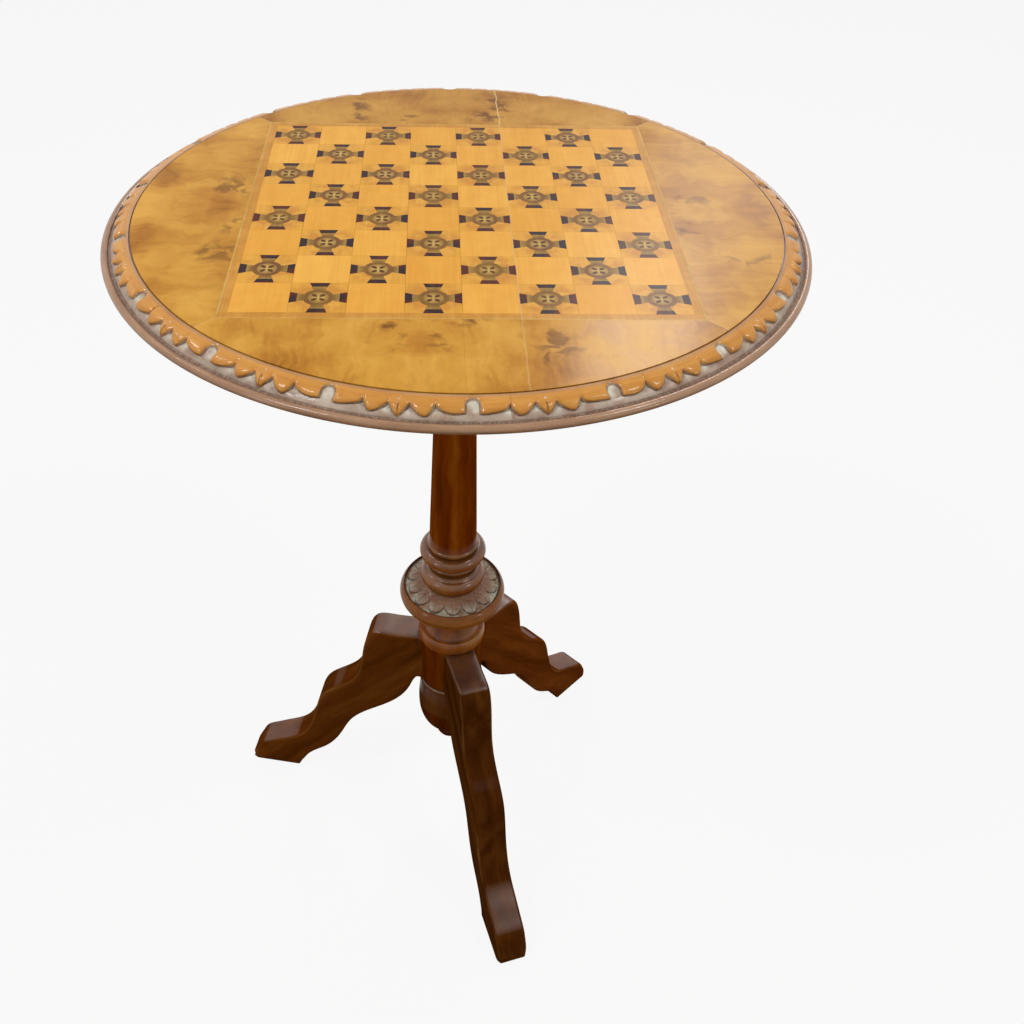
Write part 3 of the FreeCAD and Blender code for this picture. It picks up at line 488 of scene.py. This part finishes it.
def rim_segment(number):
    """A sixth of the rim: (r cos t, r sin t, z) for the section's points at each turn t, with the slope
    sunk along its normal by the carving's depth. The section goes up the inner face, over the quirk,
    down the slope, round the bead by c + R (cos w, sin w) and back along the underside."""
    columns, slope_steps = 600, 64
    span = 2 * math.pi / 6
    first = math.radians(rim_eye) + 2 * math.pi / rim_repeats * joint_share + number * span
    turn = np.linspace(first + joint_gap, first + span - joint_gap, columns)[:, None]
    slope = even_line(smooth_line(slope_points, 120), slope_steps)
    w = np.linspace(math.radians(150), math.radians(-90), 26)
    bead = bead_middle + bead_radius * np.stack([np.cos(w), np.sin(w)], -1)
    inner = field_radius + 0.06
    quirk = [(inner, -rim_depth), (inner, -quirk_depth), (quirk_radius, -quirk_depth),
             (quirk_radius + 0.15, -quirk_depth / 2)]
    section = np.vstack([quirk, slope, bead])
    down, beyond = np.arange(slope_steps), np.arange(len(bead))
    on_slope = np.r_[np.zeros(4), np.ones(slope_steps), np.zeros(len(bead))]
    run = np.gradient(slope, axis=0)
    pace = np.hypot(*run.T)[:, None]
    s = np.r_[np.zeros(4), down * pace.mean(), np.zeros(len(bead))] + 0 * turn
    phase = (turn - math.radians(rim_eye)) / (2 * math.pi / rim_repeats)
    q = np.abs((phase + 0.5) % 1 - 0.5) * 2 * half_repeat + 0 * s
    depth, raised, dust, line = (field * on_slope for field in rim_carving(q, s, turn))
    raised = raised + 0.2 * np.r_[np.zeros(4 + slope_steps), np.clip(beyond / 5, 0, 1)]
    # Painted shade: in the quirk at the field's edge, in the groove above the bead and under the bead;
    # bead_tone_and_shade also darkens the whole bead a little as its own tone.
    field_edge_shade = 0.3 * np.exp(-(down / 1.5) ** 2)
    bead_groove_shade = 0.7 * np.exp(-((down - slope_steps) / 3.0) ** 2)
    bead_tone_and_shade = 0.06 + 0.8 * np.exp(-beyond / 2.2) + np.clip(np.linspace(-1.2, 1, len(bead)), 0, 0.6)
    line = line + np.r_[0, 0.3, 0.6, 0.4, field_edge_shade + bead_groove_shade, bead_tone_and_shade]
    normal = np.zeros_like(section)
    normal[4:4 + slope_steps] = np.stack([-run[:, 1], run[:, 0]], -1) / pace
    r = section[:, 0] - depth * normal[:, 0]
    z = section[:, 1] - depth * normal[:, 1] + table_top
    points = np.stack([r * np.cos(turn), r * np.sin(turn), z], -1) * MM
    grain = np.stack([turn * middle_radius + 0 * s, r, z], -1) * MM
    return surface("carved_rim_%d" % (number + 1), points, True, True, {
        "grain": grain, "rub": raised, "dust": np.clip(dust, 0, 1), "line": np.clip(line, 0, 1)},
        middles=points[[0, -1]][:, [0, -1]].mean(1))


# the fourth colour is painted shade for the grooves, under the tongues and under the bead
rim_walnut = carved_walnut("carved_rim_walnut", ("#8c6e5b", "#ad8c76"), ("#c07d2d", "#d69845"),
                           "#e2dfcd", "#4c2a14", 0.2, 0.3)
for number in range(6):
    piece(rim_segment(number), rim_walnut, "top", "rim_walnut", "rim_segment_%d" % (number + 1))

# Burr veneer of the field
# Four panels of burr walnut, each of two mirrored leaves laid edge to edge, mitred at the board's
# corners. The figure is cloudy, with knots of dark curled grain beside the board, under old polish.
core_joint = 0.037


def burr_walnut(name, mirrored, along, joint, seed, crack, brown, knots):
    """Burr walnut: golden, with clouds 50 mm across, streaks 4 mm wide that run out to the rim and brown
    blots 12 mm wide, the same on both leaves since they read the distance from the joint between them.
    knots are (x, y, half width, half depth, strength) in metres: the blots close up and darken there.
    crack is how plain the open joint of the core shows through, brown how far the leaf tends to
    brown, and the mitre shows as a fine pale line."""
    material, tree = finish(name)
    place = put(tree, "TexCoord", {}, out="Object")
    apart = put(tree, "SeparateXYZ", {"Vector": place}).node
    side = put(tree, "Math", {0: apart.outputs[mirrored]}, operation="ABSOLUTE")
    fold = put(tree, "Math", {0: apart.outputs[mirrored], 1: joint}, operation="SUBTRACT")
    fold = put(tree, "Math", {0: fold}, operation="ABSOLUTE")
    out = put(tree, "Math", {0: apart.outputs[along]}, operation="ABSOLUTE")
    leaf = put(tree, "CombineXYZ", {"X": fold, "Y": out, "Z": seed})
    drift = put(tree, "TexNoise", {"Vector": leaf, "Scale": 1 / 0.03, "Detail": 3.0}, out="Color")
    drift = put(tree, "VectorMath", {0: drift, 1: (0.5, 0.5, 0.5)}, operation="SUBTRACT")
    drift = put(tree, "VectorMath", {0: drift, 1: (0.03, 0.03, 0.0)}, operation="MULTIPLY")
    leaf = put(tree, "VectorMath", {0: leaf, 1: drift}, operation="ADD")
    cloud = put(tree, "TexNoise", {"Vector": leaf, "Scale": 1 / 0.05, "Detail": 4.0})
    long = put(tree, "VectorMath", {0: leaf, 1: (1 / 0.004, 1 / 0.05, 1.0)}, operation="MULTIPLY")
    streak = put(tree, "TexNoise", {"Vector": long, "Scale": 1.0, "Detail": 4.0})
    shade = put(tree, "Math", {0: streak, 1: 0.25, 2: cloud}, operation="MULTIPLY_ADD")
    wood = put(tree, "ValToRGB", {"Fac": shade}, stops=(
        (0.42, "#a0641a"), (0.84, "#e2aa4a"), (0.54, "#bd802a"), (0.66, "#d1973a")))
    wood = put(tree, "Mix", {0: brown, 6: wood, 7: linear("#8a5a1e")}, out=2, data_type="RGBA")
    bent = put(tree, "VectorMath", {0: place, 1: drift}, operation="ADD")
    near = 0.0
    for x, y, width, depth, strength in knots:
        flat = put(tree, "VectorMath", {0: bent, 1: (1 / width, 1 / depth, 0.0)}, operation="MULTIPLY")
        middle = (x / width, y / depth, 0.0)
        far = put(tree, "VectorMath", {0: flat, 1: middle}, out="Value", operation="DISTANCE")
        knot = put(tree, "MapRange", {"Value": far, "From Min": 0.3, "From Max": 1.3,
                                      "To Min": strength, "To Max": 0.0}, interpolation_type="SMOOTHSTEP")
        near = put(tree, "Math", {0: near, 1: knot}, operation="MAXIMUM")
    blots = put(tree, "TexNoise", {"Vector": leaf, "Scale": 1 / 0.012, "Detail": 6.0, "Distortion": 0.5})
    reach = put(tree, "Math", {0: near, 1: 0.15, 2: 0.38}, operation="MULTIPLY_ADD")
    blots = put(tree, "Math", {0: blots, 1: reach}, operation="SUBTRACT")
    depth = put(tree, "Math", {0: near, 1: 0.75, 2: 0.12}, operation="MULTIPLY_ADD")
    blots = put(tree, "MapRange", {"Value": blots, "From Min": -0.09, "From Max": 0.05,
                                   "To Min": depth, "To Max": 0.0})
    wood = put(tree, "Mix", {0: blots, 6: wood, 7: linear("#6b3f12")}, out=2, data_type="RGBA")
    bend = put(tree, "TexNoise", {"W": apart.outputs["Y"], "Scale": 1 / 0.03, "Detail": 3.0},
               noise_dimensions="1D")
    bend = put(tree, "Math", {0: bend, 1: 0.005, 2: apart.outputs["X"]}, operation="MULTIPLY_ADD")
    for line, strength in (({0: bend, 1: core_joint + 0.0025}, crack), ({0: side, 1: out}, 0.45)):
        gap = put(tree, "Math", line, operation="SUBTRACT")
        gap = put(tree, "Math", {0: gap}, operation="ABSOLUTE")
        gap = put(tree, "MapRange", {"Value": gap, "From Min": 0.0002, "From Max": 0.0008,
                                     "To Min": strength, "To Max": 0.0})
        wood = put(tree, "Mix", {0: gap, 6: wood, 7: linear("#e3c68c")}, out=2, data_type="RGBA")
    rough = put(tree, "MapRange", {"Value": cloud, "From Min": 0.3, "From Max": 0.7,
                                   "To Min": 0.18, "To Max": 0.28})
    bump = put(tree, "Bump", {"Height": streak, "Strength": 0.04, "Distance": 0.0004})
    shine = put(tree, "BsdfPrincipled", {"Base Color": wood, "Roughness": rough, "Normal": bump, "IOR": 1.5,
                                         "Specular IOR Level": 0.06})
    put(tree, "OutputMaterial", {"Surface": shine})
    return material


def dress(material, *names):
    """Gives the CAD nodes of these names that material."""
    for name in names:
        nodes[name].data.materials.clear()
        nodes[name].data.materials.append(material)


burr_panels = {
    "front": ("X", "Y", -0.026, 0.83, 0.25, 0.1, (
        (-0.045, -0.163, 0.01, 0.022, 1.0), (-0.002, -0.155, 0.024, 0.01, 0.9),
        (-0.017, -0.175, 0.01, 0.018, 0.6), (0.055, -0.184, 0.018, 0.026, 0.8))),
    "right": ("Y", "X", 0.0, 1.7, 0.0, 0.14, (
        (0.17, -0.03, 0.022, 0.014, 0.8), (0.175, 0.02, 0.03, 0.01, 0.6), (0.2, -0.075, 0.025, 0.012, 0.5))),
    "back": ("X", "Y", 0.0, 2.9, 0.7, 0.3, (
        (-0.078, 0.187, 0.009, 0.04, 0.9), (-0.039, 0.168, 0.01, 0.012, 0.7),
        (0.025, 0.17, 0.016, 0.018, 1.0), (0.034, 0.198, 0.018, 0.026, 0.9))),
    "left": ("Y", "X", 0.0, 4.3, 0.0, 0.14, (
        (-0.172, 0.032, 0.03, 0.022, 0.7), (-0.216, 0.045, 0.022, 0.018, 0.4),
        (-0.17, -0.068, 0.026, 0.018, 0.7), (-0.158, -0.03, 0.012, 0.014, 0.6)))}
for name, figure in burr_panels.items():
    dress(burr_walnut("burr_walnut_" + name, *figure), "burr_veneer_" + name)

# Squares of the board
# Plain squares and the corners of the patterned ones are satinwood veneer, cut with the grain running
# away from the player. Each square came from its own spot on the leaf, so no two match in tone.
square_side = 0.037


def board_wood(name, first, second, spot, darker, other, ring, seam=0.0):
    """Veneer of the board: each square has its own tone between first and second, found from its column
    and row, changed by up to spot where scraps differ, with straight grain 1.5 mm wide and a slow
    silky ripple towards darker. From ring[0] to ring[1] metres off the square's middle it turns to the
    tone called other. seam is how plain the glue line shows in the last 0.4 mm of the square, and the
    open joint of the core shows faintly."""
    material, tree = finish(name)
    place = put(tree, "TexCoord", {}, out="Object")
    per_square = (1 / square_side, 1 / square_side, 0.0)
    square = put(tree, "VectorMath", {0: place, 1: per_square}, operation="MULTIPLY")
    tone = put(tree, "VectorMath", {0: square}, operation="FLOOR")
    tone = put(tree, "TexWhiteNoise", {"Vector": tone}, noise_dimensions="3D")
    scrap = put(tree, "TexNoise", {"Vector": place, "Scale": 1 / 0.009, "Detail": 2.0})
    scrap = put(tree, "MapRange", {"Value": scrap, "From Min": 0.35, "From Max": 0.65,
                                   "To Min": -spot, "To Max": spot})
    tone = put(tree, "Math", {0: tone, 1: scrap}, operation="ADD", use_clamp=True)
    wood = put(tree, "Mix", {0: tone, 6: linear(first), 7: linear(second)}, out=2, data_type="RGBA")
    cell = put(tree, "VectorMath", {0: square}, operation="FRACTION")
    inside = put(tree, "VectorMath", {0: cell, 1: (0.5, 0.5, 0.0)}, out="Value", operation="DISTANCE")
    inside = put(tree, "MapRange", {"Value": inside, "From Min": ring[0] / square_side,
                                    "From Max": ring[1] / square_side})
    wood = put(tree, "Mix", {0: inside, 6: wood, 7: linear(other)}, out=2, data_type="RGBA")
    long = put(tree, "VectorMath", {0: place, 1: (1 / 0.0015, 1 / 0.06, 1.0)}, operation="MULTIPLY")
    grain = put(tree, "TexNoise", {"Vector": long, "Scale": 1.0, "Detail": 4.0})
    wide = put(tree, "VectorMath", {0: place, 1: (1 / 0.011, 1 / 0.05, 1.0)}, operation="MULTIPLY")
    ripple = put(tree, "TexNoise", {"Vector": wide, "Scale": 1.0, "Detail": 3.0})
    shade = put(tree, "Math", {0: grain, 1: ripple}, operation="ADD")
    shade = put(tree, "MapRange", {"Value": shade, "From Min": 0.75, "From Max": 1.2,
                                   "To Min": 0.38, "To Max": 0.0})
    wood = put(tree, "Mix", {0: shade, 6: wood, 7: linear(darker)}, out=2, data_type="RGBA")
    edge = put(tree, "VectorMath", {0: cell, 1: (0.5, 0.5, 0.0)}, operation="SUBTRACT")
    edge = put(tree, "VectorMath", {0: edge}, operation="ABSOLUTE")
    edge = put(tree, "SeparateXYZ", {"Vector": edge}).node
    edge = put(tree, "Math", {0: edge.outputs["X"], 1: edge.outputs["Y"]}, operation="MAXIMUM")
    edge = put(tree, "MapRange", {"Value": edge, "From Min": 0.488, "From Max": 0.5, "To Max": seam})
    wood = put(tree, "Mix", {0: edge, 6: wood, 7: linear("#7a4c1c")}, out=2, data_type="RGBA")
    x = put(tree, "SeparateXYZ", {"Vector": place}, out="X")
    gap = put(tree, "Math", {0: x, 1: core_joint}, operation="SUBTRACT")
    gap = put(tree, "Math", {0: gap}, operation="ABSOLUTE")
    gap = put(tree, "MapRange", {"Value": gap, "From Min": 0.0001, "From Max": 0.0006,
                                 "To Min": 0.25, "To Max": 0.0})
    wood = put(tree, "Mix", {0: gap, 6: wood, 7: linear("#efe0c4")}, out=2, data_type="RGBA")
    bump = put(tree, "Bump", {"Height": grain, "Strength": 0.04, "Distance": 0.0003})
    shine = put(tree, "BsdfPrincipled", {"Base Color": wood, "Roughness": 0.3, "Normal": bump, "IOR": 1.5,
                                         "Specular IOR Level": 0.055})
    put(tree, "OutputMaterial", {"Surface": shine})
    return material


whole_square, corner_ring = (1.0, 2.0), (0.016, 0.024)
square_woods = {
    "light_squares": (
        "satinwood_veneer", "#e4a33f", "#edb14d", 0.2, "#d48e2e", "#e4a33f", whole_square, 0.16),
    "square_grounds": (
        "satinwood_corners", "#cd8c3a", "#e0a545", 0.9, "#c18334", "#e2a53e", corner_ring, 0.28)}
for node, wood in square_woods.items():
    dress(board_wood(*wood), node)

# Inlaid stars
# Each patterned square has a star of olive-brown wood with rosewood tips, and a boxwood roundel with
# four walnut petals, cut with a fretsaw and glued into the satinwood.
star_woods = {
    "star_bodies": ("olive_brown_inlay", "#8a6429", "#80542c", 0.6, "#5e3f20", "#a9853f", (0.0088, 0.0134)),
    "star_crosses": ("boxwood_inlay", "#a47c3a", "#ab8448", 0.3, "#865f2e", "#cda95c", (0.0056, 0.002)),
    "star_petals": ("walnut_inlay", "#6f4a22", "#5a381e", 0.4, "#472a14", "#6f4a22", whole_square),
    "star_tips": ("rosewood_inlay", "#5e2a1b", "#33262a", 0.9, "#260f0c", "#3e1a1a", whole_square)}
for node, wood in star_woods.items():
    dress(board_wood(*wood), node)

# Banding and stringing
# A border of satinwood crossbanding round the board and a fine line of boxwood outside it. Both are
# strips mitred at the corners, glued down between the squares and the burr.
border_woods = {
    "board_banding": ("satinwood_banding", "#c88b38", "#d39744", 0.6, "#a8702c", "#c88b38", whole_square),
    "board_stringing": ("boxwood_stringing", "#c99b48", "#d8b062", 0.5, "#b08848", "#c99b48", whole_square)}
for node, wood in border_woods.items():
    dress(board_wood(*wood), node)

# Core, block and bearers
# The core is four pine boards glued edge to edge, bare and brown underneath. The block on the pillar
# and the bearers screwed to the core are birch, stained and left unpolished.


def bare_wood(name, dark, light, grain_axis, ring_width, plank):
    """Plain sawn softwood or birch without polish: straight grain along one axis, rings of that width in
    metres, matt and dry, with dirt in patches. plank is how far along the log the piece was cut."""
    material, tree = finish(name)
    place = put(tree, "TexCoord", {}, out="Object")
    stretch = [1 / ring_width] * 3
    stretch[grain_axis] = 1 / 0.18
    cut = put(tree, "VectorMath", {0: place, 1: (plank, plank, plank)}, operation="ADD")
    long = put(tree, "VectorMath", {0: cut, 1: tuple(stretch)}, operation="MULTIPLY")
    rings = put(tree, "TexNoise", {"Vector": long, "Scale": 1.0, "Detail": 4.0, "Roughness": 0.55})
    dirt = put(tree, "TexNoise", {"Vector": place, "Scale": 1 / 0.07, "Detail": 5.0})
    wood = put(tree, "ValToRGB", {"Fac": rings}, stops=((0.34, dark), (0.66, light)))
    dirty = put(tree, "MapRange", {"Value": dirt, "From Min": 0.5, "From Max": 0.75, "To Max": 0.5})
    wood = put(tree, "Mix", {0: dirty, 6: wood, 7: linear(dark)}, out=2, data_type="RGBA")
    bump = put(tree, "Bump", {"Height": rings, "Strength": 0.25, "Distance": 0.0008})
    rough = put(tree, "MapRange", {"Value": dirt, "To Min": 0.55, "To Max": 0.8})
    shine = put(tree, "BsdfPrincipled", {"Base Color": wood, "Roughness": rough, "Normal": bump, "IOR": 1.5,
                                         "Specular IOR Level": 0.3})
    put(tree, "OutputMaterial", {"Surface": shine})
    return material


pine_tones = (("#7a5229", "#a87b45"), ("#6d4722", "#96693a"), ("#845b31", "#b18650"), ("#744c26", "#9f713f"))
for k, tones in enumerate(pine_tones, 1):
    dress(bare_wood("bare_pine_%d" % k, *tones, 1, 0.006, 0.7 * k), "core_board_%d" % k)
dress(bare_wood("stained_birch", "#3c200e", "#5c3619", 0, 0.004, 0.0),
      "tilt_block", "bearer_front", "bearer_back")
dress(bare_wood("birch_wedge", "#5a3a1c", "#8a6336", 2, 0.003, 0.0), "tenon_wedge")

# Catch, pins and screws
# The slide catch, its strike and the pivot pins are cast and filed brass gone brown with age, and
# the screws are plain steel with dull heads.


def old_metal(name, clean, tarnish, gloss):
    """Old handled metal: bright where it is rubbed and dull in brown patches about 9 mm across, with
    fine file marks 0.7 mm apart."""
    material, tree = finish(name)
    place = put(tree, "TexCoord", {}, out="Object")
    patch = put(tree, "TexNoise", {"Vector": place, "Scale": 1 / 0.009, "Detail": 5.0})
    fine = put(tree, "VectorMath", {0: place, 1: (1 / 0.02, 1 / 0.0007, 1 / 0.0007)}, operation="MULTIPLY")
    marks = put(tree, "TexNoise", {"Vector": fine, "Scale": 1.0, "Detail": 2.0})
    colour = put(tree, "ValToRGB", {"Fac": patch}, stops=((0.35, clean), (0.68, tarnish)))
    rough = put(tree, "MapRange", {"Value": patch, "From Min": 0.3, "From Max": 0.7,
                                   "To Min": gloss, "To Max": gloss + 0.3})
    bump = put(tree, "Bump", {"Height": marks, "Strength": 0.12, "Distance": 0.0002})
    shine = put(tree, "BsdfPrincipled", {"Base Color": colour, "Roughness": rough, "Normal": bump,
                                         "Metallic": 1.0})
    put(tree, "OutputMaterial", {"Surface": shine})
    return material


dress(old_metal("aged_brass", "#c9a255", "#7d5a2a", 0.25),
      "pivot_pin_front", "pivot_pin_back", "strike_plate", "catch_case", "catch_bolt", "catch_knob")
dress(old_metal("dull_screw_steel", "#8d8a86", "#5f5750", 0.4),
      "strike_screws", "catch_screws", "bearer_screws")

# Floor, light and camera
# A plain pale studio floor, two overhead soft boxes, two behind on the right that lay a pale sheen on
# the right of the top, three small ones for glints, and the camera where the picture was taken.
floor_half = 4.0
corners = np.array([[(-1, -1, 0), (-1, 1, 0)], [(1, -1, 0), (1, 1, 0)]]) * [floor_half, floor_half, 0.0]
floor_mesh = surface("studio_floor", corners[::-1], False, False, {})
floor = bpy.data.objects.new("studio_floor", floor_mesh)
bpy.context.scene.collection.objects.link(floor)


def seen_directly(tree):
    """1 for what the camera sees, straight or in a mirror or glass, and 0 for light bounced around."""
    ray = put(tree, "LightPath", {}).node.outputs
    seen = put(tree, "Math", {0: ray["Is Camera Ray"], 1: ray["Is Glossy Ray"]}, operation="ADD")
    return put(tree, "Math", {0: seen, 1: ray["Is Transmission Ray"]}, operation="ADD", use_clamp=True)


floor_paint, tree = finish("studio_floor_paint")
matt = put(tree, "BsdfDiffuse", {"Color": linear("#c9c7c3")})
white = put(tree, "Emission", {"Color": linear("#ffffff"), "Strength": 1.0})
share = put(tree, "Math", {0: seen_directly(tree), 1: 0.9}, operation="MULTIPLY")
put(tree, "OutputMaterial", {"Surface": put(tree, "MixShader", {0: share, 1: matt, 2: white})})
floor_mesh.materials.append(floor_paint)

world = bpy.data.worlds.new("studio_white")
bpy.context.scene.world = world
world.use_nodes = True
tree = world.node_tree
tree.nodes.clear()
level = put(tree, "MapRange", {"Value": seen_directly(tree), "To Min": 0.34, "To Max": 1.0})
sky = put(tree, "Background", {"Color": linear("#ffffff"), "Strength": level})
put(tree, "OutputWorld", {"Surface": sky})


def soft_box(name, place, aim, size, power):
    """A square soft box at place, its face turned to aim."""
    lamp = bpy.data.lights.new(name, "AREA")
    lamp.shape, lamp.size, lamp.energy = "SQUARE", size, power
    box = bpy.data.objects.new(name, lamp)
    bpy.context.scene.collection.objects.link(box)
    back = np.subtract(place, aim)
    back = back / np.linalg.norm(back)
    right = np.cross([0.0, 0.0, 1.0], back)
    right /= np.linalg.norm(right)
    turned = np.eye(4)
    turned[:3] = np.stack([right, np.cross(back, right), back, place], -1)
    box.matrix_world = mathutils.Matrix(turned.tolist())
    box.visible_camera = False


table_middle = (0, 0, 0.5)
soft_box("soft_box_left", (-1.1, -0.6, 2.3), table_middle, 0.3, 14.8)
soft_box("soft_box_right", (1.2, -0.5, 2.3), table_middle, 0.3, 12.6)
soft_box("soft_box_back", (0.6, 1.95, 2.12), (0.1, -0.2, 0.716), 0.34, 10)
soft_box("soft_box_far", (0.87, 2.26, 1.81), (0.2, 0, 0.716), 0.5, 3)
glints = {"side": (-1.35, 0.55, 2.15), "front_left": (-1.94, -1.41, 0.8), "front_right": (1.94, -1.41, 0.8)}
for name, place in glints.items():
    soft_box("glint_" + name, place, table_middle, 0.12, 4)

lens = bpy.data.cameras.new("photo_view")
lens.lens, lens.shift_x, lens.shift_y = 37.445, 0.04446, 0.00384
lens.clip_start = 0.02
camera = bpy.data.objects.new("photo_view", lens)
camera.location = (-0.01878, -0.7339, 1.0699)
camera.rotation_euler = [math.radians(angle) for angle in (48.111, -1.185, -1.344)]
bpy.context.scene.collection.objects.link(camera)
bpy.context.scene.camera = camera
bpy.context.scene.view_settings.view_transform = "Standard"
